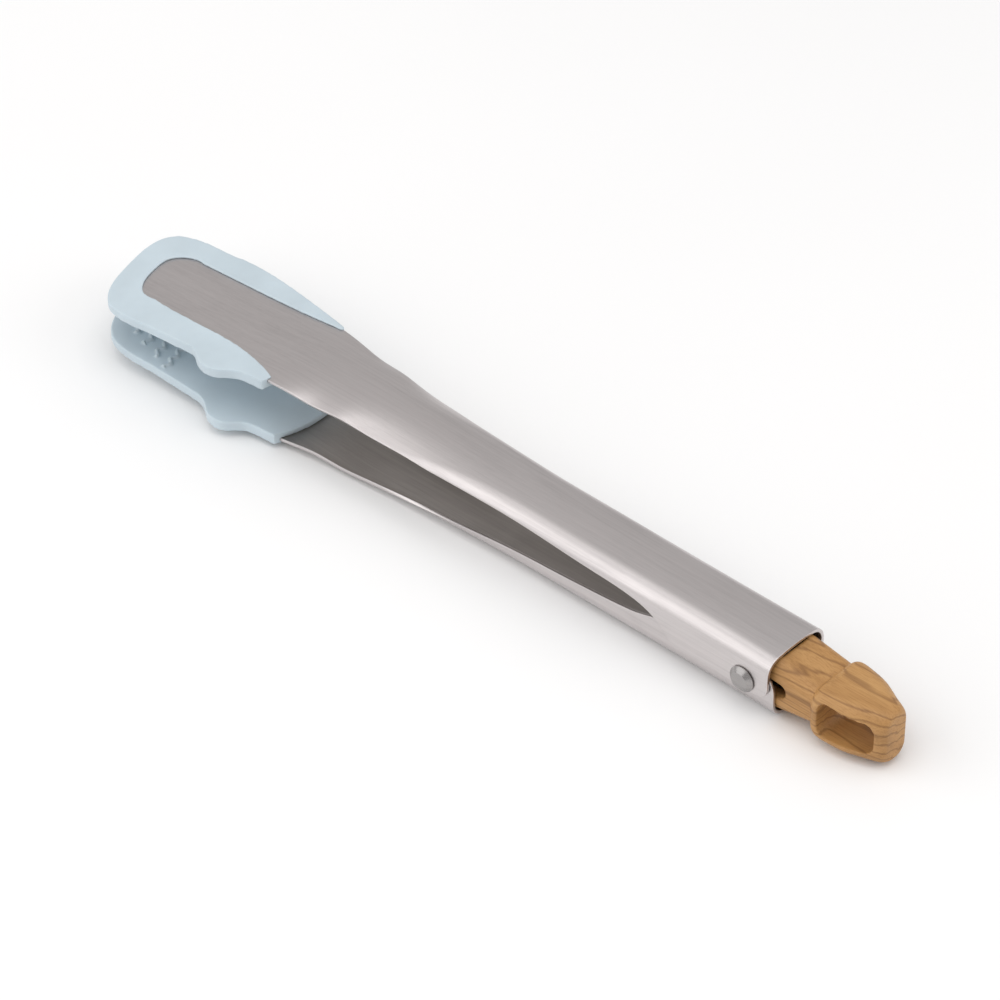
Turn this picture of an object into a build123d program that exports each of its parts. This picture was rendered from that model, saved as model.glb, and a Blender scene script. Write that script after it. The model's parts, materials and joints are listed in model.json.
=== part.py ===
from build123d import *
from math import cos, pi, radians, sin, sqrt, tan
import os

# Spring loaded kitchen tongs, locked closed. Lengths in millimetres, angles in degrees.
# Along the tongs, x is measured from the pivot: positive towards the pull tab, negative towards
# the tips. v is measured away from the plane midway between the arms.

# How the tongs lie: the pivot's place, and the small pitch that brings the lower arm's belly and
# its rear end down on the same surface.
PIVOT_X = 105.09
PIVOT_Z = 10.564
REST_PITCH = 0.855

# Pressed steel arms, two channels nested at the pivot.
SHEET = 1.0
NEST_INSET = 1.3
UPPER_REAR = 8.7
LOWER_REAR = 10.0
FLANGE_LAP = 3.3
FLANGE_CORNER = 4.0
BLOCK_BASE = -9.0
SLICE = 9.0
# Cross-sections: place, crown height, crown radius, half width, corner radius.
STATIONS = (
    (14, 10.4, 60, 12.0, 5.0),
    (-20, 10.8, 60, 12.0, 6.0),
    (-60, 11.0, 55, 12.0, 6.0),
    (-95, 11.6, 38, 12.1, 6.0),
    (-125, 12.3, 23, 13.6, 4.5),
    (-150, 12.7, 33, 18.5, 4.0),
    (-172, 11.9, 90, 27.0, 4.0),
    (-195, 9.9, 500, 33.0, 4.0),
    (-225, 7.5, 900, 33.0, 4.0),
    (-264, 4.5, 900, 33.0, 4.0),
)
# The lower arm's head closes in less than the upper arm's, and its rear end lies nearer the pivot.
LOWER_STATIONS = (
    *STATIONS[:5],
    (-150, 12.7, 42, 18.5, 4.0),
    (-172, 11.9, 90, 27.0, 4.0),
    (-195, 10.2, 500, 33.0, 4.0),
    (-225, 8.9, 900, 33.0, 4.0),
    (-264, 7.0, 900, 33.0, 4.0),
)
LOWER_HEAD_BACK = 3.5
# Half widths of each arm where it flares from the channel to the head, then the head's two sides.
UPPER_FLARE = ((-118, 12.3), (-135, 12.8), (-155, 14.1), (-172, 15.5))
LOWER_FLARE = ((-118, 11.1), (-135, 11.6), (-155, 12.9), (-172, 14.6))
STEEL_NEAR = ((-190, -16.6), (-207, -17.5))
STEEL_FAR = ((-190, 17.7), (-209, 20.9))
FLARE_CLEAR = 13.4
# Lower edges of the flanges, from the deep rear part forward through the step.
UPPER_STEP = ((-22, -3.3), (-26, -2.4), (-33, 3.2), (-41, 5.5), (-60, 6.4), (-85, 7.0), (-118, 7.4))
LOWER_STEP = ((-24, -3.3), (-28, -3.0), (-34, -1.2), (-42, 0.9), (-60, 2.7), (-90, 4.6), (-122, 7.4))

# Silicone head sleeves, moulded over the flat ends of the arms.
SKIN = 0.7
PAD_TIP = 0.8
PAD_REAR = 1.8
HEAD_REAR = -179.0
HEAD_TIP = -257.0
PAD_BOW = 2.5
UPPER_LEG_NEAR = -17.8
LOWER_LEG_NEAR = -17.0
LEG_FAR = 16.9
TIP_CURVE = ((-228, 23.6), (-241, 23.1), (-249.2, 21.9), (-253.8, 19.4), (-255.8, 15.2), (-255.4, 7.5),
             (-252.2, -4.6), (-247.7, -14.0), (-243.8, -17.7), (-238.0, -19.5), (-226, -19.2))
FAR_SIDE = ((-212.6, 22.9), (-199.3, 20.8), (-187.6, 18.6))
UPPER_BUMP = ((-208.6, -18.6), (-205.2, -19.4), (-202.2, -21.4), (-198.4, -22.7), (-194.6, -22.5),
              (-191.6, -20.9), (-188.6, -19.1), (-184.6, -18.3))
LOWER_BUMP = ((-208.6, -19.1), (-206.0, -19.5), (-203.1, -20.8), (-199.6, -23.3), (-196.8, -24.1),
              (-193.7, -23.6), (-191.4, -21.3), (-189.0, -18.8), (-185.3, -17.7))
STEEL_TIP = ((-228, 22.2), (-240.6, 21.7), (-248.1, 20.5), (-252.4, 17.8), (-254.0, 14.7), (-253.7, 7.4),
             (-250.7, -4.2), (-246.3, -13.2), (-242.8, -16.4), (-237.6, -18.1), (-226, -17.8))
WINDOW_NEAR = ((-172, -17.5), (-178.6, -14.4), (-186, -12.0), (-196, -9.9), (-212, -9.0), (-234, -8.0))
WINDOW_TIP = ((-240.5, -6.7), (-243.6, -2.6), (-245.8, 4.5), (-246, 9.6), (-243, 13.2), (-236, 14.4))
WINDOW_FAR = ((-205, 14.3), (-186, 14.9), (-172, 16.2))

# Wavy gripping ribs on the sleeves' inner faces.
RIB_COUNT = 4
RIB_FIRST = -226.8
RIB_SPACING = 5.4
RIB_REACH = 17.5
RIB_SHORTER = 1.85
RIB_SLANT = 14.0
RIB_WAVE = 4.0
RIB_SWING = 0.75
RIB_HALF = 0.55
RIB_HEIGHT = 0.8

# Pivot rivet, spacer and torsion spring.
PIN_R = 2.3
PIN_FIT = 0.05
PIN_HALF = 12.1
HEAD_R = 4.1
HEAD_FACE_R = 2.75
HEAD_RIM = 0.4
HEAD_HEIGHT = 1.6
TENON_R = 1.4
TENON_LENGTH = 1.0
SPACER_R = 3.1
SPACER_HALF = 5.0
WIRE_R = 0.8
COIL_R = 4.3
COIL_PITCH = 1.75
COIL_TURNS = 4
LEG_ANGLE = 6.0
LEG_LENGTH = 36.0

# Pull tab: a slotted fork that slides on the rivet, a tapered neck and a head with a hanging slot.
TAB_FRONT = -7.5
NECK_HALF = 9.45
NECK_HIGH = 8.7
NECK_CORNER = 4.1
NECK_TAPER_FROM = 8.0
NECK_TAPER_TO = 24.4
NECK_LOW = 5.9
PIN_SLOT_FRONT = -3.0
PIN_SLOT_REAR = 12.9
PIN_SLOT_HALF = 2.45
FORK_HALF = 5.4
FORK_OPEN_TO = 8.0
POCKET_HIGH = 6.2
POCKET_REAR = 15.9
# Head sections: place, near half width, far half width, half height, corner radius.
TAB_HEAD = (
    (22.4, 10.0, 9.4, 6.8, 4.4),
    (24.8, 11.3, 10.1, 8.7, 4.8),
    (30.0, 11.4, 9.4, 8.8, 4.8),
    (36.0, 10.5, 7.5, 8.9, 4.8),
    (41.5, 8.6, 4.7, 8.9, 4.8),
    (44.6, 7.3, 3.2, 8.5, 4.4),
    (45.8, 5.6, 1.8, 7.6, 3.4),
)
TAB_END_ROUND = 1.2
HANG_FRONT = 25.4
HANG_REAR = 42.6
HANG_TOP = (6.6, 5.1)
HANG_BOTTOM = (-5.5, -4.9)
HANG_CORNER = 3.0

BODY = Plane((PIVOT_X, 0, PIVOT_Z)).rotated((0, REST_PITCH, 0))
PIN_AXIS = Axis(BODY.origin, BODY.y_dir)


def station(x, side=1):
    """Cross-section plane at x, with its second direction pointing away from the mid plane."""
    return Plane(BODY.origin + BODY.x_dir * x, x_dir=BODY.y_dir * side, z_dir=BODY.x_dir)


def profile_plane(side=1):
    """Side view plane: x along the tongs, v away from the mid plane on the given side."""
    return Plane(BODY.origin, x_dir=BODY.x_dir, z_dir=BODY.y_dir * -side)


def section_at(side, x):
    """Crown height, crown radius, half width and corner radius at x, smooth between the stations."""
    rows = STATIONS if side > 0 else LOWER_STATIONS
    i = 0
    while i < len(rows) - 2 and x < rows[i + 1][0]:
        i += 1
    ends = (rows[max(i - 1, 0)], rows[i], rows[i + 1], rows[min(i + 2, len(rows) - 1)])
    span = ends[2][0] - ends[1][0]
    t = (x - ends[1][0]) / span
    row = []
    for k in range(1, len(ends[0])):
        start_slope = (ends[2][k] - ends[0][k]) / (ends[2][0] - ends[0][0]) * span
        end_slope = (ends[3][k] - ends[1][k]) / (ends[3][0] - ends[1][0]) * span
        row.append((2 * t**3 - 3 * t**2 + 1) * ends[1][k] + (t**3 - 2 * t**2 + t) * start_slope
                   + (3 * t**2 - 2 * t**3) * ends[2][k] + (t**3 - t**2) * end_slope)
    return row


def channel_block(side, inset, rear_grow, tip_grow=None):
    """Solid below the arm's outer surface, from the rear end past the tip.

    It is moved out by rear_grow, which changes to tip_grow, if given, along the head."""
    rear = STATIONS[0][0]
    slices = round((rear - STATIONS[-1][0]) / SLICE)
    with BuildPart() as block:
        for i in range(slices + 1):
            x = rear + (STATIONS[-1][0] - rear) * i / slices
            crown, crown_r, half, corner = section_at(side, x)
            grow = rear_grow
            if tip_grow is not None:
                along = min(max((HEAD_REAR - x) / (HEAD_REAR - HEAD_TIP), 0), 1)
                grow = rear_grow + (tip_grow - rear_grow) * along
            radius = crown_r + grow
            width = half - inset + grow
            shoulder = crown + grow - radius + sqrt(radius**2 - width**2)
            with BuildSketch(station(x, side)) as section:
                with BuildLine():
                    Polyline((-width, shoulder), (-width, BLOCK_BASE), (width, BLOCK_BASE), (width, shoulder))
                    ThreePointArc((width, shoulder), (0, crown + grow), (-width, shoulder))
                make_face()
                fillet(section.vertices().group_by(Axis.Y)[-1], corner + grow)
        loft(ruled=True)
    return block.part


def moved(rows, back):
    """Head outline drawn in towards the pivot, by back at its rear end and not at all at its tip."""
    return [(x + back * (x - HEAD_TIP) / (HEAD_REAR - HEAD_TIP), y) for x, y in rows]


def arm_shell(side, inset, rear, flare, step, back):
    """Pressed channel: a thin arched sheet, cut to its plan outline and to its flange edges."""
    outer = channel_block(side, inset, 0)
    inner = channel_block(side, inset, -SHEET)
    rear_low = (rear - FLANGE_CORNER, -FLANGE_LAP)
    with BuildPart() as shell:
        with BuildSketch(profile_plane(side)):
            with BuildLine():
                Polyline((STATIONS[-1][0] + 4, -2), (STATIONS[-1][0] + 4, 20), (rear, 20),
                         (rear, FLANGE_CORNER - FLANGE_LAP))
                CenterArc((rear_low[0], FLANGE_CORNER - FLANGE_LAP), FLANGE_CORNER, 0, -90)
                Line(rear_low, step[0])
                Spline(*step)
                Polyline(step[-1], (-150, 4), (STATIONS[-1][0] + 4, -2))
            make_face()
        extrude(amount=40, both=True)
        with BuildSketch(BODY):
            with BuildLine():
                near = [(x, -y) for x, y in flare]
                tip = moved(STEEL_TIP, back)
                Polyline((20, -FLARE_CLEAR), (-106, -FLARE_CLEAR), near[0])
                Spline(*near, *moved(STEEL_NEAR, back), tip[-1])
                Spline(*reversed(tip))
                Spline(tip[0], *reversed(moved(STEEL_FAR, back)), *reversed(flare))
                Polyline(flare[0], (-106, FLARE_CLEAR), (20, FLARE_CLEAR), (20, -FLARE_CLEAR))
            make_face()
        extrude(amount=25, both=True, mode=Mode.INTERSECT)
        add(outer, mode=Mode.INTERSECT)
        add(inner, mode=Mode.SUBTRACT)
        with BuildSketch(profile_plane(side)):
            Circle(PIN_R + PIN_FIT)
        extrude(amount=20, both=True, mode=Mode.SUBTRACT)
    return shell.part


def grip_ribs(side, above, below, back):
    """Wavy ribs between two arched surfaces, one slanted wave per rib, each shorter than the last."""
    with BuildPart() as ribs:
        with BuildSketch(BODY):
            for i in range(RIB_COUNT):
                reach = RIB_REACH - RIB_SHORTER * i
                steps = int(round(2 * reach / (RIB_WAVE / 4)))
                wave = []
                for k in range(steps + 1):
                    y = -reach + 2 * reach * k / steps
                    x = RIB_FIRST - RIB_SPACING * i - y * tan(radians(RIB_SLANT))
                    wave.append((x + RIB_SWING * sin(2 * pi * y / RIB_WAVE), y))
                wave = moved(wave, back)
                front = [(x - RIB_HALF, y) for x, y in wave]
                behind = [(x + RIB_HALF, y) for x, y in wave]
                with BuildLine():
                    Spline(*front)
                    Line(front[-1], behind[-1])
                    Spline(*reversed(behind))
                    Line(behind[0], front[0])
                make_face()
        extrude(amount=25 * side)
        add(above, mode=Mode.INTERSECT)
        add(below, mode=Mode.SUBTRACT)
    return ribs.part


def head_sleeve(side, inset, steel, back, bump, leg_near):
    """Silicone sleeve: a full inner pad, a rim around the steel and a window in its outer face."""
    skin = channel_block(side, inset, SKIN)
    middle = channel_block(side, inset, -SHEET / 2)
    face = channel_block(side, inset, -SHEET - PAD_REAR, -SHEET - PAD_TIP)
    crest = channel_block(side, inset, -SHEET - PAD_REAR - RIB_HEIGHT, -SHEET - PAD_TIP - RIB_HEIGHT)
    under = channel_block(side, inset, -SHEET)
    ribs = grip_ribs(side, under, crest, back)
    rear = HEAD_REAR + back
    with BuildPart() as window:
        with BuildSketch(BODY):
            with BuildLine():
                near = moved(WINDOW_NEAR, back)
                tip = moved(WINDOW_TIP, back)
                far = moved(WINDOW_FAR, back)
                Spline(*near)
                Spline(near[-1], *tip)
                Spline(tip[-1], *far)
                Line(far[-1], near[0])
            make_face()
        extrude(amount=30, both=True)
        add(middle, mode=Mode.SUBTRACT)
    with BuildPart() as sleeve:
        with BuildSketch(BODY):
            with BuildLine():
                outer_tip = moved(TIP_CURVE, back)
                rest = moved(bump, back)
                ThreePointArc((rear, leg_near), (rear + PAD_BOW, 0), (rear, LEG_FAR))
                Spline((rear, LEG_FAR), *reversed(moved(FAR_SIDE, back)), outer_tip[0])
                Spline(*outer_tip)
                Line(outer_tip[-1], rest[0])
                Spline(*rest, (rear, leg_near))
            make_face()
        extrude(amount=25 * side)
        add(skin, mode=Mode.INTERSECT)
        add(face, mode=Mode.SUBTRACT)
        add(ribs)
        add(steel, mode=Mode.SUBTRACT)
        add(window.part, mode=Mode.SUBTRACT)
    return sleeve.part


def tab_section(x, near, far, high, corner):
    """Rounded rectangle across the pull tab at x, with its own half width on each side."""
    with BuildSketch(station(x)) as section:
        with Locations(((far - near) / 2, 0)):
            RectangleRounded(near + far, 2 * high, corner)
    return section.sketch


upper_shell = arm_shell(1, 0, UPPER_REAR, UPPER_FLARE, UPPER_STEP, 0)
lower_shell = arm_shell(-1, NEST_INSET, LOWER_REAR, LOWER_FLARE, LOWER_STEP, LOWER_HEAD_BACK)

with BuildPart() as upper_arm:
    add(upper_shell)

with BuildPart() as lower_arm:
    add(lower_shell)

upper_sleeve_shell = head_sleeve(1, 0, upper_shell, 0, UPPER_BUMP, UPPER_LEG_NEAR)
lower_sleeve_shell = head_sleeve(-1, NEST_INSET, lower_shell, LOWER_HEAD_BACK, LOWER_BUMP,
                                  LOWER_LEG_NEAR)

with BuildPart() as upper_head_sleeve:
    add(upper_sleeve_shell)

with BuildPart() as lower_head_sleeve:
    add(lower_sleeve_shell)

# Rivet and cap profiles run along the pin axis, with the radius across it.
ALONG_PIN = Plane(BODY.origin, x_dir=BODY.y_dir, z_dir=BODY.x_dir)

with BuildPart() as pivot_pin:
    with BuildSketch(ALONG_PIN):
        with BuildLine():
            Polyline((-PIN_HALF - HEAD_HEIGHT, 0), (-PIN_HALF - HEAD_HEIGHT, HEAD_FACE_R),
                     (-PIN_HALF - HEAD_RIM, HEAD_R), (-PIN_HALF, HEAD_R), (-PIN_HALF, PIN_R),
                     (PIN_HALF, PIN_R), (PIN_HALF, TENON_R), (PIN_HALF + TENON_LENGTH, TENON_R),
                     (PIN_HALF + TENON_LENGTH, 0), (-PIN_HALF - HEAD_HEIGHT, 0))
        make_face()
    revolve(axis=PIN_AXIS)

with BuildPart() as pivot_cap:
    with BuildSketch(ALONG_PIN):
        with BuildLine():
            Polyline((PIN_HALF, TENON_R), (PIN_HALF, HEAD_R), (PIN_HALF + HEAD_RIM, HEAD_R),
                     (PIN_HALF + HEAD_HEIGHT, HEAD_FACE_R), (PIN_HALF + HEAD_HEIGHT, 0),
                     (PIN_HALF + TENON_LENGTH, 0), (PIN_HALF + TENON_LENGTH, TENON_R), (PIN_HALF, TENON_R))
        make_face()
    revolve(axis=PIN_AXIS)

with BuildPart() as spring_spacer:
    with BuildSketch(profile_plane()):
        Circle(SPACER_R)
        Circle(PIN_R + PIN_FIT, mode=Mode.SUBTRACT)
    extrude(amount=SPACER_HALF, both=True)

# The coil starts where the upper leg leaves it and ends, half a turn on, where the lower leg does.
coil_turns = COIL_TURNS + 0.5 - 2 * LEG_ANGLE / 360
coil_length = COIL_PITCH * coil_turns
leg_up = BODY.x_dir * sin(radians(LEG_ANGLE)) + BODY.z_dir * cos(radians(LEG_ANGLE))
coil_start = BODY.origin - BODY.y_dir * (coil_length / 2)
coil = Plane(coil_start, x_dir=leg_up, z_dir=BODY.y_dir) * Helix(COIL_PITCH, coil_length, COIL_R)
upper_leg_end = coil @ 0 - (coil % 0) * LEG_LENGTH
lower_leg_end = coil @ 1 + (coil % 1) * LEG_LENGTH

with BuildPart() as torsion_spring:
    with BuildLine() as wire_path:
        Line(upper_leg_end, coil @ 0)
        add(coil)
        Line(coil @ 1, lower_leg_end)
    with BuildSketch(Plane(upper_leg_end, z_dir=coil % 0)):
        Circle(WIRE_R)
    sweep(path=wire_path.line)

neck_front = tab_section(TAB_FRONT, NECK_HALF, NECK_HALF, NECK_HIGH, NECK_CORNER)
neck_shoulder = tab_section(NECK_TAPER_FROM, NECK_HALF, NECK_HALF, NECK_HIGH, NECK_CORNER)
neck_end = tab_section(NECK_TAPER_TO, NECK_HALF, NECK_HALF, NECK_LOW, NECK_CORNER)

with BuildPart() as pull_tab:
    loft([neck_front, neck_shoulder], ruled=True)
    loft([neck_shoulder, neck_end], ruled=True)
    loft([tab_section(*row) for row in TAB_HEAD])
    fillet(pull_tab.faces().sort_by(Axis(BODY.origin, BODY.x_dir))[-1].edges(), TAB_END_ROUND)
    with BuildSketch(profile_plane()):
        with Locations(((PIN_SLOT_FRONT + PIN_SLOT_REAR) / 2, 0)):
            SlotOverall(PIN_SLOT_REAR - PIN_SLOT_FRONT, 2 * PIN_SLOT_HALF)
    extrude(amount=15, both=True, mode=Mode.SUBTRACT)
    with BuildSketch(profile_plane()):
        with Locations(((TAB_FRONT + POCKET_REAR) / 2, 0)):
            RectangleRounded(POCKET_REAR - TAB_FRONT + 4, 2 * POCKET_HIGH, 1.5)
        with Locations(((TAB_FRONT + FORK_OPEN_TO) / 2 - 2, 0)):
            Rectangle(FORK_OPEN_TO - TAB_FRONT + 4, 30)
    extrude(amount=FORK_HALF, both=True, mode=Mode.SUBTRACT)
    with BuildSketch(profile_plane()) as hang:
        with BuildLine():
            Polyline((HANG_FRONT, HANG_BOTTOM[0]), (HANG_REAR, HANG_BOTTOM[1]), (HANG_REAR, HANG_TOP[1]),
                     (HANG_FRONT, HANG_TOP[0]), (HANG_FRONT, HANG_BOTTOM[0]))
        make_face()
        fillet(hang.vertices(), HANG_CORNER)
    extrude(amount=20, both=True, mode=Mode.SUBTRACT)

PARTS = {
    "upper_arm": upper_arm,
    "lower_arm": lower_arm,
    "upper_head_sleeve": upper_head_sleeve,
    "lower_head_sleeve": lower_head_sleeve,
    "pivot_pin": pivot_pin,
    "pivot_cap": pivot_cap,
    "spring_spacer": spring_spacer,
    "torsion_spring": torsion_spring,
    "pull_tab": pull_tab,
}

os.makedirs("parts", exist_ok=True)
for name, builder in PARTS.items():
    builder.part.label = name
    export_step(builder.part, f"parts/{name}.step")
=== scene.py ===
import bpy
import bmesh
import json
import math
from mathutils import Matrix, Vector


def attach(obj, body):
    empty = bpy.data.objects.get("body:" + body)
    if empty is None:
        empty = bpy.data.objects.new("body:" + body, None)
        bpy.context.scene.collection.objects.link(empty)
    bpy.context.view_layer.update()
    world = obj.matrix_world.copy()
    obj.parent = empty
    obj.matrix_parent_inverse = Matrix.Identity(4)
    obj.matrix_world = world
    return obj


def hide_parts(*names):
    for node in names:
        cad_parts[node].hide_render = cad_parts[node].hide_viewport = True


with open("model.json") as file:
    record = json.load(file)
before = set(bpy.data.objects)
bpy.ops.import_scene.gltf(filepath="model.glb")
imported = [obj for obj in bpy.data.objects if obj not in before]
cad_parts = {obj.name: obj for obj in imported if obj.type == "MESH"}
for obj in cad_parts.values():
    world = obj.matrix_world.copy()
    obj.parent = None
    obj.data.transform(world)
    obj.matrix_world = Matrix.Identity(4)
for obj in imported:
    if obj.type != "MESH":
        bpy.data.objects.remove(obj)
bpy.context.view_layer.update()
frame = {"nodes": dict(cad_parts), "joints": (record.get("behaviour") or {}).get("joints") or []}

MM = 0.001

# The pivot and the tongs' own axes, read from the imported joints: x towards the pull tab, z across
# the arms. Shapes below are in millimetres in this pivot frame, as in the CAD model.
joints = {joint["name"]: joint for joint in frame["joints"]}
pivot = Vector(joints["arm_hinge"]["pos_m"])
along = Vector(joints["tab_slide"]["axis"]).normalized()
across = Vector((0, 1, 0))
rise = along.cross(across)


def place(x, y, z):
    """A point of the pivot frame, in millimetres, as a point of the scene, in metres."""
    return pivot + (along * x + across * y + rise * z) * MM


def add_object(name, data):
    """A new object in the scene."""
    made = bpy.data.objects.new(name, data)
    bpy.context.scene.collection.objects.link(made)
    return made


def smooth_shaded(data):
    data.polygons.foreach_set("use_smooth", [True] * len(data.polygons))


def finished(mesh, name):
    """A built mesh as smooth shaded mesh data."""
    data = bpy.data.meshes.new(name)
    mesh.to_mesh(data)
    mesh.free()
    smooth_shaded(data)
    return data


def smooth_row(rows, x):
    """The row of numbers at x on a smooth curve through rows sorted by falling x."""
    i = 0
    while i < len(rows) - 2 and x < rows[i + 1][0]:
        i += 1
    a, b, c, d = (rows[max(0, min(i + k, len(rows) - 1))] for k in (-1, 0, 1, 2))
    span = c[0] - b[0]
    t = (x - b[0]) / span
    out = []
    for k in range(1, len(b)):
        enter = (c[k] - a[k]) / (c[0] - a[0]) * span
        leave = (d[k] - b[k]) / (d[0] - b[0]) * span
        out.append((2 * t**3 - 3 * t**2 + 1) * b[k] + (t**3 - 2 * t**2 + t) * enter
                   + (3 * t**2 - 2 * t**3) * c[k] + (t**3 - t**2) * leave)
    return out


# ---------------------------------------------------------------- materials

# The colour sockets of a mix node, which share their names with its other sockets.
MIX_A = 6
MIX_B = 7
MIX_RESULT = 2


def new_material(name):
    material = bpy.data.materials.new(name)
    material.use_nodes = True
    tree = material.node_tree
    tree.nodes.clear()
    shader = tree.nodes.new("ShaderNodeBsdfPrincipled")
    output = tree.nodes.new("ShaderNodeOutputMaterial")
    tree.links.new(shader.outputs["BSDF"], output.inputs["Surface"])
    return material, tree, shader


def stretched_coords(tree, scale, turn=(0, 0, 0), shift=(0, 0, 0)):
    """Object coordinates, scaled, turned and shifted."""
    coords = tree.nodes.new("ShaderNodeTexCoord")
    mapping = tree.nodes.new("ShaderNodeMapping")
    mapping.inputs["Location"].default_value = shift
    mapping.inputs["Rotation"].default_value = turn
    mapping.inputs["Scale"].default_value = scale
    tree.links.new(coords.outputs["Object"], mapping.inputs["Vector"])
    return mapping.outputs["Vector"]


def noise(tree, vector, detail=4.0, roughness=0.55, distortion=0.0):
    node = tree.nodes.new("ShaderNodeTexNoise")
    node.inputs["Scale"].default_value = 1.0
    node.inputs["Detail"].default_value = detail
    node.inputs["Roughness"].default_value = roughness
    node.inputs["Distortion"].default_value = distortion
    tree.links.new(vector, node.inputs["Vector"])
    return node.outputs["Fac"]


def remap(tree, value, low, high, from_low=0.0, from_high=1.0):
    node = tree.nodes.new("ShaderNodeMapRange")
    node.inputs["From Min"].default_value = from_low
    node.inputs["From Max"].default_value = from_high
    node.inputs["To Min"].default_value = low
    node.inputs["To Max"].default_value = high
    tree.links.new(value, node.inputs["Value"])
    return node.outputs["Result"]


def ramp(tree, value, stops):
    node = tree.nodes.new("ShaderNodeValToRGB")
    elements = node.color_ramp.elements
    while len(elements) < len(stops):
        elements.new(0.5)
    for element, (position, colour) in zip(elements, stops):
        element.position = position
        element.color = (*colour, 1)
    tree.links.new(value, node.inputs["Fac"])
    return node.outputs["Color"]


def math_node(tree, operation, a, b):
    node = tree.nodes.new("ShaderNodeMath")
    node.operation = operation
    for socket, value in zip(node.inputs, (a, b)):
        if isinstance(value, (int, float)):
            socket.default_value = value
        else:
            tree.links.new(value, socket)
    return node.outputs["Value"]


def blend(tree, a, share_a, b, share_b):
    """The sum of two values, each times its share."""
    return math_node(tree, "ADD", math_node(tree, "MULTIPLY", a, share_a),
                     math_node(tree, "MULTIPLY", b, share_b))


def multiply(tree, a, b, share):
    """Colour a darkened by colour b, by the given share."""
    mix = tree.nodes.new("ShaderNodeMix")
    mix.data_type = "RGBA"
    mix.blend_type = "MULTIPLY"
    mix.inputs["Factor"].default_value = share
    tree.links.new(a, mix.inputs[MIX_A])
    tree.links.new(b, mix.inputs[MIX_B])
    return mix.outputs[MIX_RESULT]


def add_bump(tree, shader, height, strength, distance):
    bump = tree.nodes.new("ShaderNodeBump")
    bump.inputs["Strength"].default_value = strength
    bump.inputs["Distance"].default_value = distance
    tree.links.new(height, bump.inputs["Height"])
    tree.links.new(bump.outputs["Normal"], shader.inputs["Normal"])


def brushed_steel(name, tint, rough_low, rough_high):
    """Steel brushed along the tongs: fine scratches, slow sheen changes and faint smudges."""
    material, tree, shader = new_material(name)
    scratches = noise(tree, stretched_coords(tree, (60, 5200, 5200)), detail=3.0, roughness=0.7)
    bands = noise(tree, stretched_coords(tree, (14, 900, 900)), detail=4.0)
    smudges = noise(tree, stretched_coords(tree, (28, 60, 60)), detail=3.0, distortion=0.6)
    mixed = blend(tree, scratches, 0.5, bands, 0.5)
    shade = blend(tree, mixed, 0.7, smudges, 0.3)
    light = tuple(min(1.0, c * 1.10) for c in tint)
    dark = tuple(c * 0.86 for c in tint)
    colour = ramp(tree, shade, ((0.34, dark), (0.5, tint), (0.66, light)))
    tree.links.new(colour, shader.inputs["Base Color"])
    tree.links.new(remap(tree, shade, rough_high, rough_low, 0.35, 0.65), shader.inputs["Roughness"])
    shader.inputs["Metallic"].default_value = 1.0
    add_bump(tree, shader, mixed, 0.12, 0.00002)
    return material


def silicone(name, colour):
    """Soft matte silicone: faint moulding texture, slight cloudiness and a soft sheen."""
    material, tree, shader = new_material(name)
    cloud = noise(tree, stretched_coords(tree, (55, 55, 55)), detail=3.0)
    grain = noise(tree, stretched_coords(tree, (2600, 2600, 2600)), detail=2.0)
    dark = tuple(c * 0.95 for c in colour)
    light = tuple(min(1.0, c * 1.03) for c in colour)
    tree.links.new(ramp(tree, cloud, ((0.35, dark), (0.65, light))), shader.inputs["Base Color"])
    tree.links.new(remap(tree, grain, 0.46, 0.6, 0.3, 0.7), shader.inputs["Roughness"])
    shader.inputs["IOR"].default_value = 1.41
    shader.inputs["Subsurface Weight"].default_value = 0.12
    shader.inputs["Subsurface Radius"].default_value = (0.8, 0.9, 1.0)
    shader.inputs["Subsurface Scale"].default_value = 0.0012
    shader.inputs["Sheen Weight"].default_value = 0.05
    add_bump(tree, shader, grain, 0.10, 0.00003)
    return material


def oiled_wood(name):
    """Light hardwood, oiled: growth rings cut at a slant, thin dark streaks and fine pores."""
    material, tree, shader = new_material(name)
    slanted = stretched_coords(tree, (11, 105, 105), (0.0, math.radians(9), math.radians(7)),
                               (0.0, 1.1, 1.9))
    rings = tree.nodes.new("ShaderNodeTexWave")
    rings.wave_type = "RINGS"
    rings.rings_direction = "X"
    rings.wave_profile = "SIN"
    rings.inputs["Scale"].default_value = 1.15
    rings.inputs["Distortion"].default_value = 9.0
    rings.inputs["Detail"].default_value = 3.0
    rings.inputs["Detail Scale"].default_value = 0.8
    rings.inputs["Detail Roughness"].default_value = 0.6
    tree.links.new(slanted, rings.inputs["Vector"])
    cloud = noise(tree, stretched_coords(tree, (26, 110, 110)), detail=3.0, distortion=0.5)
    pores = noise(tree, stretched_coords(tree, (150, 3000, 3000)), detail=3.0, roughness=0.65)
    tone = ramp(tree, cloud, (
        (0.3, (0.38, 0.195, 0.06)),
        (0.5, (0.475, 0.252, 0.085)),
        (0.72, (0.55, 0.31, 0.115)),
    ))
    streak = ramp(tree, rings.outputs["Fac"], (
        (0.0, (0.42, 0.34, 0.27)),
        (0.10, (0.78, 0.73, 0.68)),
        (0.26, (1.0, 1.0, 1.0)),
        (1.0, (0.93, 0.90, 0.87)),
    ))
    fleck = ramp(tree, pores, ((0.36, (0.72, 0.66, 0.60)), (0.52, (1.0, 1.0, 1.0))))
    colour = multiply(tree, multiply(tree, tone, streak, 0.62), fleck, 0.6)
    tree.links.new(colour, shader.inputs["Base Color"])
    tree.links.new(remap(tree, pores, 0.58, 0.44, 0.35, 0.65), shader.inputs["Roughness"])
    add_bump(tree, shader, pores, 0.15, 0.00004)
    return material


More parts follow.
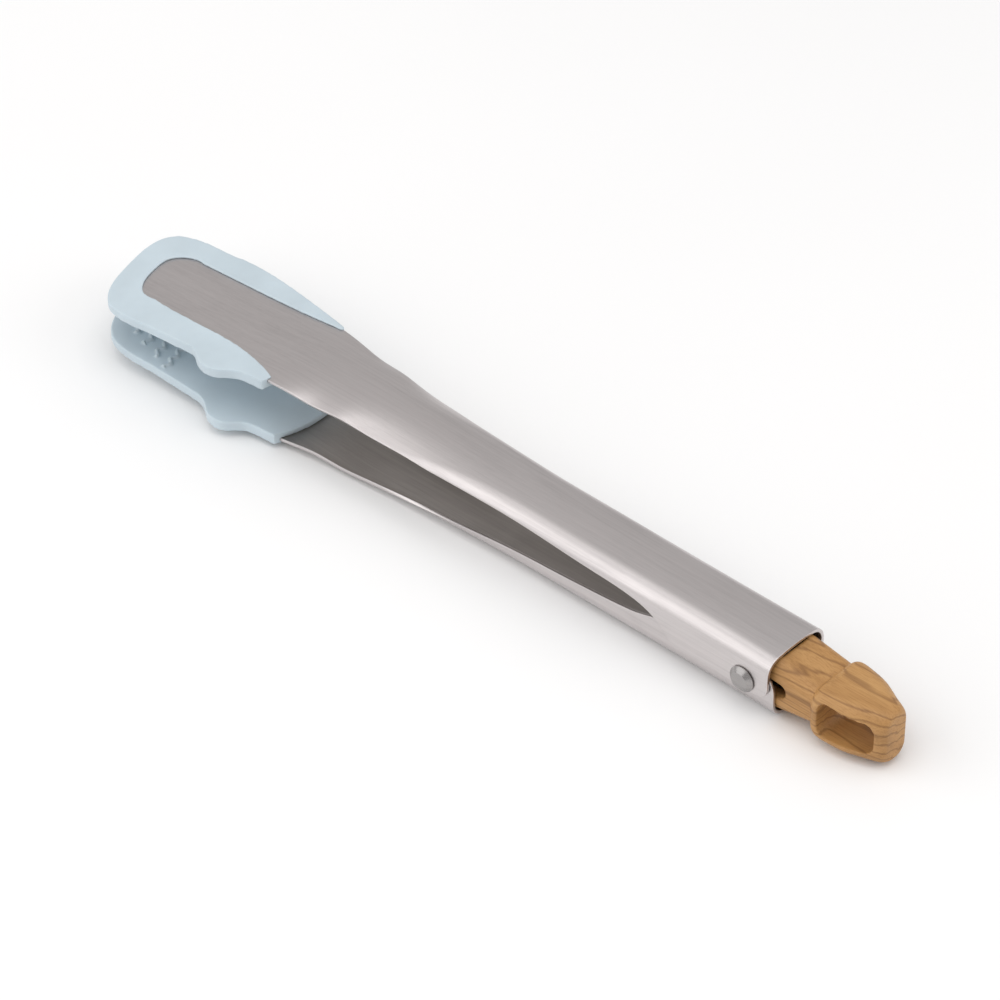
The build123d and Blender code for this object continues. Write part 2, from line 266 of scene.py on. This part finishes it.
STEEL = brushed_steel("brushed_steel", (0.61, 0.575, 0.57), 0.30, 0.42)
# The arms' inner faces: the same brushed steel painted darker, as painted shade inside the arms.
SHADED_INNER_STEEL = brushed_steel("inner_steel_painted_shade", (0.37, 0.34, 0.32), 0.34, 0.48)
RIVET = brushed_steel("turned_steel", (0.36, 0.345, 0.34), 0.18, 0.34)
SPRING = brushed_steel("spring_wire", (0.50, 0.50, 0.51), 0.25, 0.4)
SILICONE = silicone("silicone", (0.545, 0.635, 0.69))
WOOD = oiled_wood("oiled_wood")


# ---------------------------------------------------------------- arms

# Cross-sections from the pivot's side to the tip: place along the arm, height of the crown above
# the mid plane, the crown's radius, half the width and the corner's radius.
SHEET = 1.0
STATIONS = (
    (14, 10.4, 60, 12.0, 5.0),
    (-20, 10.8, 60, 12.0, 6.0),
    (-60, 11.0, 55, 12.0, 6.0),
    (-95, 11.6, 38, 12.1, 6.0),
    (-125, 12.3, 23, 13.6, 4.5),
    (-150, 12.7, 33, 18.5, 4.0),
    (-172, 11.9, 90, 27.0, 4.0),
    (-195, 9.9, 500, 33.0, 4.0),
    (-225, 7.5, 900, 33.0, 4.0),
    (-264, 4.5, 900, 33.0, 4.0),
)
LOWER_STATIONS = (
    *STATIONS[:5],
    (-150, 12.7, 42, 18.5, 4.0),
    (-172, 11.9, 90, 27.0, 4.0),
    (-195, 10.2, 500, 33.0, 4.0),
    (-225, 8.9, 900, 33.0, 4.0),
    (-264, 7.0, 900, 33.0, 4.0),
)
FLANGE_LAP = 3.3
FLANGE_CORNER = 4.0
# Each arm's plan is its half width along the head's neck, and its edge the height of the flange's
# lower edge. back is how far the head's rear is drawn in towards the pivot.
UPPER = {
    "side": 1, "inset": 0.0, "rear": 8.7, "stations": STATIONS, "back": 0.0,
    "plan": ((-118, 12.3), (-135, 12.8), (-155, 14.1), (-172, 15.5)),
    "edge": ((-22, -3.3), (-26, -2.4), (-33, 3.2), (-41, 5.5), (-60, 6.5), (-85, 7.5)),
}
LOWER = {
    "side": -1, "inset": 1.3, "rear": 10.0, "stations": LOWER_STATIONS, "back": 3.5,
    "plan": ((-124, 11.25), (-135, 11.6), (-155, 12.9), (-172, 14.6)),
    "edge": ((-24, -3.3), (-28, -3.0), (-34, -1.2), (-42, 0.9), (-60, 2.7), (-90, 4.9),
             (-108, 6.9)),
}
HEAD_NEAR = ((-190, 16.6), (-207, 17.4), (-226, 17.6), (-237, 17.4), (-248, 7.5))
HEAD_FAR = ((-190, 17.7), (-209, 20.9), (-228, 22.0), (-240, 21.2), (-248, 19.0))
ARM_END = -248.0
HEAD_REAR = -179.0
HEAD_TIP = -257.0
UNCUT = 99.0
FLANGE_END_Z = -8.0
ARC_STEPS = 24
ARM_COLUMNS = 72
ROW_STEP = 1.6
REAR_CORNER_ROWS = 5.0
REAR_CORNER_STEP = 0.35
FLANGE_STEP_FROM = -20.0
FLANGE_STEP_TO = -46.0
FLANGE_STEP_STEP = 0.6
SHEET_EDGE_R = 0.16
SHEET_EDGE_ANGLE = 60


def half_profile(crown, crown_r, half, corner):
    """Points from the crown's middle outwards and down the flange: (y, z)."""
    arch_z = crown - crown_r
    corner_y = half - corner
    corner_z = arch_z + math.sqrt((crown_r - corner) ** 2 - corner_y**2)
    lean = math.asin(corner_y / (crown_r - corner))
    points = []
    for i in range(ARC_STEPS):
        a = lean * i / ARC_STEPS
        points.append((crown_r * math.sin(a), arch_z + crown_r * math.cos(a)))
    for i in range(ARC_STEPS + 1):
        a = lean + (math.pi / 2 - lean) * i / ARC_STEPS
        points.append((corner_y + corner * math.sin(a), corner_z + corner * math.cos(a)))
    points.append((half, FLANGE_END_Z))
    return points


def trimmed(points, y_limit, z_limit):
    """The profile up to where it reaches the plan outline or the flange's lower edge."""
    kept = [points[0]]
    for (y0, z0), (y1, z1) in zip(points, points[1:]):
        share = 1.0
        if y1 > y_limit:
            share = min(share, (y_limit - y0) / (y1 - y0))
        if z1 < z_limit and z1 != z0:
            share = min(share, (z_limit - z0) / (z1 - z0))
        kept.append((y0 + (y1 - y0) * share, z0 + (z1 - z0) * share))
        if share < 1.0:
            break
    return kept


def resampled(points, count):
    """The same line as count + 1 points at even steps of length."""
    lengths = [0.0]
    for a, b in zip(points, points[1:]):
        lengths.append(lengths[-1] + math.dist(a, b))
    out = []
    k = 0
    for i in range(count + 1):
        want = lengths[-1] * i / count
        while k < len(points) - 2 and lengths[k + 1] < want:
            k += 1
        gap = lengths[k + 1] - lengths[k]
        t = (want - lengths[k]) / gap if gap else 0.0
        out.append(tuple(p + (q - p) * t for p, q in zip(points[k], points[k + 1])))
    return out


def joined_edge(arm):
    """The flange's edge rows, and one more where the plan outline meets the rounded corner."""
    x, y = arm["plan"][0]
    crown, crown_r, half, corner = smooth_row(arm["stations"], x)
    corner_y = half - arm["inset"] - corner
    corner_z = crown - crown_r + math.sqrt((crown_r - corner) ** 2 - corner_y**2)
    return (*arm["edge"], (x, corner_z + math.sqrt(corner**2 - (y - corner_y) ** 2)))


def edge_height(arm, x):
    """Height of the flange's lower edge at x."""
    corner_from = arm["rear"] - FLANGE_CORNER
    if x > corner_from:
        round_off = math.sqrt(max(FLANGE_CORNER**2 - (x - corner_from) ** 2, 0.0))
        return FLANGE_CORNER - FLANGE_LAP - round_off
    if x > arm["edge"][0][0]:
        return -FLANGE_LAP
    if x < arm["plan"][0][0]:
        return -UNCUT
    return smooth_row(joined_edge(arm), x)[0]


def drawn_in(x, back):
    """x on a head drawn in towards the pivot, by back at its rear and not at all at its tip."""
    return x + back * (x - HEAD_TIP) / (HEAD_REAR - HEAD_TIP)


def plan_limit(arm, head, x):
    """Half width of the arm's plan outline at x, on one side."""
    rows = (*arm["plan"], *((drawn_in(place_x, arm["back"]), half) for place_x, half in head))
    if x > rows[0][0]:
        return UNCUT
    return smooth_row(rows, x)[0]


def arm_rows(arm):
    """Places of the mesh rows, closer together at the rear corner and at the flange's step."""
    x = arm["rear"]
    rows = []
    end = drawn_in(ARM_END, arm["back"])
    while x > end:
        rows.append(x)
        if x > arm["rear"] - REAR_CORNER_ROWS:
            x -= REAR_CORNER_STEP
        elif FLANGE_STEP_FROM > x > FLANGE_STEP_TO:
            x -= FLANGE_STEP_STEP
        else:
            x -= ROW_STEP
    return rows + [end]


def arm_mesh(name, arm):
    """One pressed arm: an arched sheet with flanges, its edges slightly rounded."""
    mesh = bmesh.new()
    grid = []
    for x in arm_rows(arm):
        crown, crown_r, half, corner = smooth_row(arm["stations"], x)
        profile = half_profile(crown, crown_r, half - arm["inset"], corner)
        low = edge_height(arm, x)
        near, far = (resampled(trimmed(profile, plan_limit(arm, head, x), low), ARM_COLUMNS // 2)
                     for head in (HEAD_NEAR, HEAD_FAR))
        line = [(-y, z) for y, z in reversed(near)] + far[1:]
        grid.append([mesh.verts.new(place(x, y, arm["side"] * z)) for y, z in line])
    for row, below in zip(grid, grid[1:]):
        for k in range(len(row) - 1):
            mesh.faces.new((row[k], row[k + 1], below[k + 1], below[k]))
    bmesh.ops.recalc_face_normals(mesh, faces=mesh.faces)
    middle = grid[len(grid) // 2][ARM_COLUMNS // 2]
    if middle.normal.dot(rise) * arm["side"] < 0:
        bmesh.ops.reverse_faces(mesh, faces=mesh.faces)
    data = finished(mesh, name)
    piece = add_object(name, data)
    thick = piece.modifiers.new("thickness", "SOLIDIFY")
    thick.thickness = SHEET * MM
    thick.offset = -1.0
    thick.use_even_offset = True
    # The inner shell takes the second material, the steel painted darker as shade.
    thick.material_offset = 1
    bevel = piece.modifiers.new("edges", "BEVEL")
    bevel.width = SHEET_EDGE_R * MM
    bevel.segments = 2
    bevel.limit_method = "ANGLE"
    bevel.angle_limit = math.radians(SHEET_EDGE_ANGLE)
    bevel.harden_normals = False
    data.materials.append(STEEL)
    data.materials.append(SHADED_INNER_STEEL)
    return piece


upper_arm = arm_mesh("upper_arm_sheet", UPPER)
lower_arm = arm_mesh("lower_arm_sheet", LOWER)
for piece, body, node in ((upper_arm, "upper", "upper_arm"), (lower_arm, "lower", "lower_arm")):
    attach(piece, body)
    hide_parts(node)


# ---------------------------------------------------------------- soft and turned pieces

WELD = 0.002


def softened(node, name, voxel, rounds, material):
    """The CAD solid of a node with its edges rounded off, as a new piece."""
    data = frame["nodes"][node].data.copy()
    data.name = name
    mesh = bmesh.new()
    mesh.from_mesh(data)
    bmesh.ops.remove_doubles(mesh, verts=mesh.verts, dist=WELD * MM)
    mesh.to_mesh(data)
    mesh.free()
    data.materials.clear()
    piece = add_object(name, data)
    remesh = piece.modifiers.new("remesh", "REMESH")
    remesh.mode = "VOXEL"
    remesh.voxel_size = voxel * MM
    remesh.use_smooth_shade = True
    relax = piece.modifiers.new("relax", "SMOOTH")
    relax.factor = 0.5
    relax.iterations = rounds
    settle(piece)
    piece.data.materials.append(material)
    return piece


def settle(piece):
    """Applies all modifiers of a piece to its mesh."""
    graph = bpy.context.evaluated_depsgraph_get()
    made = bpy.data.meshes.new_from_object(piece.evaluated_get(graph))
    piece.modifiers.clear()
    piece.data = made
    smooth_shaded(made)


RIB_COUNT = 4
RIB_FIRST = -226.8
RIB_SPACING = 5.4
RIB_REACH = 17.5
RIB_SHORTER = 1.85
RIB_SLANT = 14.0
RIB_WAVE = 4.0
RIB_SWING = 0.75
RIB_STEP = 0.25
# A rib's section: place across the rib and height above the pad, below zero inside the pad.
RIB_SHAPE = ((-0.62, -0.4), (-0.55, 0.3), (-0.42, 0.62), (-0.2, 0.78), (0.0, 0.8), (0.2, 0.78),
             (0.42, 0.62), (0.55, 0.3), (0.62, -0.4))
RIB_END_SHARES = (0.35, 0.75, 0.92, 1.0)
PAD_TIP = 0.8
PAD_REAR = 1.8
SLEEVE_VOXEL = 0.28
SLEEVE_ROUNDS = 5
TAB_VOXEL = 0.33
TAB_ROUNDS = 14


def pad_face(arm, x, y):
    """Height of the sleeve's inner face above the mid plane."""
    crown, crown_r = smooth_row(arm["stations"], x)[:2]
    along_head = min(max((HEAD_REAR - x) / (HEAD_REAR - HEAD_TIP), 0), 1)
    depth = SHEET + PAD_REAR + (PAD_TIP - PAD_REAR) * along_head
    radius = crown_r - depth
    return crown - depth - radius + math.sqrt(radius**2 - y**2)


def rib_path(arm, i):
    """Points (x, y) along the middle of rib number i, counted from the pivot's side."""
    reach = RIB_REACH - RIB_SHORTER * i
    steps = round(2 * reach / RIB_STEP)
    path = []
    for k in range(steps + 1):
        y = -reach + 2 * reach * k / steps
        x = RIB_FIRST - RIB_SPACING * i - y * math.tan(math.radians(RIB_SLANT))
        x += RIB_SWING * math.sin(2 * math.pi * y / RIB_WAVE)
        path.append((drawn_in(x, arm["back"]), y))
    return path


def add_ribs(sleeve, arm):
    """Rounded wavy ribs across the sleeve's inner face."""
    mesh = bmesh.new()
    mesh.from_mesh(sleeve.data)
    for i in range(RIB_COUNT):
        path = rib_path(arm, i)
        steps = len(path) - 1
        rings = []
        for k, (x, y) in enumerate(path):
            before, after = path[max(k - 1, 0)], path[min(k + 1, steps)]
            run = math.dist(before, after)
            side_x, side_y = (after[1] - before[1]) / run, -(after[0] - before[0]) / run
            grow = RIB_END_SHARES[min(k, steps - k, len(RIB_END_SHARES) - 1)]
            ring = []
            for across_rib, height in RIB_SHAPE:
                px, py = x + side_x * across_rib * grow, y + side_y * across_rib * grow
                z = pad_face(arm, px, py) - (height * grow if height > 0 else height)
                ring.append(mesh.verts.new(place(px, py, arm["side"] * z)))
            rings.append(ring)
        faces = [mesh.faces.new(rings[0]), mesh.faces.new(rings[-1])]
        for ring, other in zip(rings, rings[1:]):
            for k in range(len(RIB_SHAPE)):
                j = (k + 1) % len(RIB_SHAPE)
                faces.append(mesh.faces.new((ring[k], ring[j], other[j], other[k])))
        bmesh.ops.recalc_face_normals(mesh, faces=faces)
        for face in faces:
            face.smooth = True
    mesh.to_mesh(sleeve.data)
    mesh.free()


for node, body in (("upper_head_sleeve", "upper"), ("lower_head_sleeve", "lower")):
    name = node.replace("sleeve", "silicone")
    sleeve = softened(node, name, SLEEVE_VOXEL, SLEEVE_ROUNDS, SILICONE)
    add_ribs(sleeve, UPPER if body == "upper" else LOWER)
    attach(sleeve, body)
    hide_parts(node)

tab = softened("pull_tab", "wooden_tab", TAB_VOXEL, TAB_ROUNDS, WOOD)
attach(tab, "tab")
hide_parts("pull_tab")


PIN_HALF = 12.1
PIN_R = 2.3
PIN_GAP = 0.1
TURN_STEPS = 72
TURN_SHARP = 28
# A rivet's head: radius, and height above the arm's side.
RIVET_END = ((PIN_R, 0.0), (4.0, 0.0), (4.1, 0.1), (4.1, 0.42), (2.85, 1.5), (2.7, 1.6), (0.0, 1.6))


def lathe(name, profile):
    """A turned piece about the pivot axis, from (radius, place across the arms) points."""
    mesh = bmesh.new()
    rings = []
    for radius, y in profile:
        if radius == 0:
            rings.append([mesh.verts.new(place(0, y, 0))])
            continue
        angles = [2 * math.pi * k / TURN_STEPS for k in range(TURN_STEPS)]
        rings.append([mesh.verts.new(place(radius * math.cos(a), y, radius * math.sin(a)))
                      for a in angles])
    for ring, other in zip(rings, rings[1:]):
        for k in range(TURN_STEPS):
            corners = [ring[k % len(ring)], ring[(k + 1) % len(ring)],
                       other[(k + 1) % len(other)], other[k % len(other)]]
            kept = [v for i, v in enumerate(corners) if v not in corners[:i]]
            if len(kept) > 2:
                mesh.faces.new(kept)
    bmesh.ops.recalc_face_normals(mesh, faces=mesh.faces)
    data = finished(mesh, name)
    data.set_sharp_from_angle(angle=math.radians(TURN_SHARP))
    data.materials.append(RIVET)
    return add_object(name, data)


pin_end = PIN_HALF - PIN_GAP
near_head = [(r, -PIN_HALF - h) for r, h in reversed(RIVET_END)]
pin = lathe("rivet_pin", near_head + [(PIN_R, pin_end), (0.0, pin_end)])
cap = lathe("rivet_cap", [(0.0, PIN_HALF)] + [(r, PIN_HALF + h) for r, h in RIVET_END])
for piece, node in ((pin, "pivot_pin"), (cap, "pivot_cap")):
    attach(piece, "pivot")
    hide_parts(node)

for node in ("spring_spacer", "torsion_spring"):
    frame["nodes"][node].data.materials.clear()
    frame["nodes"][node].data.materials.append(SPRING)


# ---------------------------------------------------------------- floor, light, camera

def floor():
    """A wide pale floor, its tone varying very slightly."""
    material, tree, shader = new_material("pale_floor")
    tone = noise(tree, stretched_coords(tree, (3, 3, 3)), detail=2.0)
    tint = ramp(tree, tone, ((0.3, (0.93, 0.93, 0.93)), (0.7, (0.95, 0.95, 0.95))))
    tree.links.new(tint, shader.inputs["Base Color"])
    shader.inputs["Roughness"].default_value = 0.85
    data = bpy.data.meshes.new("floor")
    size = 6.0
    corners = [(-size, -size, 0), (size, -size, 0), (size, size, 0), (-size, size, 0)]
    data.from_pydata(corners, [], [(0, 1, 2, 3)])
    data.materials.append(material)
    piece = add_object("floor", data)


def soft_light(name, toward, distance, width, height, power):
    """A softbox in the given direction from the scene's origin, facing it."""
    data = bpy.data.lights.new(name, "AREA")
    data.shape = "RECTANGLE"
    data.size = width
    data.size_y = height
    data.energy = power
    light = add_object(name, data)
    direction = Vector(toward).normalized()
    light.location = direction * distance
    light.rotation_mode = "QUATERNION"
    light.rotation_quaternion = direction.to_track_quat("Z", "Y")


floor()
soft_light("key", (-0.52, -0.66, 0.54), 1.5, 2.2, 1.2, 8.5)
soft_light("fill", (0.85, 0.35, 0.55), 1.6, 1.0, 1.0, 4)
soft_light("top", (0.12, -0.1, 1.0), 1.6, 1.6, 1.6, 10)

world = bpy.data.worlds.new("studio")
world.use_nodes = True
background = world.node_tree.nodes["Background"]
background.inputs["Color"].default_value = (1.0, 0.985, 0.98, 1)
background.inputs["Strength"].default_value = 0.58
bpy.context.scene.world = world
bpy.context.scene.view_settings.view_transform = "Standard"

# The camera stands where the photograph was taken from. Its place and directions are in the pivot
# frame, the place in millimetres.
CAMERA_PLACE = (599.2, -760.7, 859.6)
CAMERA_BACK = (0.5206, -0.5655, 0.6397)
CAMERA_RIGHT = (0.7357, 0.6773, 0.0)
CAMERA_LENS = 169.3

turned = Matrix((along, across, rise)).transposed()
back = (turned @ Vector(CAMERA_BACK)).normalized()
right = (turned @ Vector(CAMERA_RIGHT)).normalized()
up = back.cross(right)
camera_data = bpy.data.cameras.new("camera")
camera_data.lens = CAMERA_LENS
camera_data.sensor_width = 36.0
camera_data.clip_start = 0.05
camera_data.clip_end = 20.0
camera = add_object("camera", camera_data)
facing = Matrix((right, up, back)).transposed().to_4x4()
camera.matrix_world = Matrix.Translation(place(*CAMERA_PLACE)) @ facing
bpy.context.scene.camera = camera
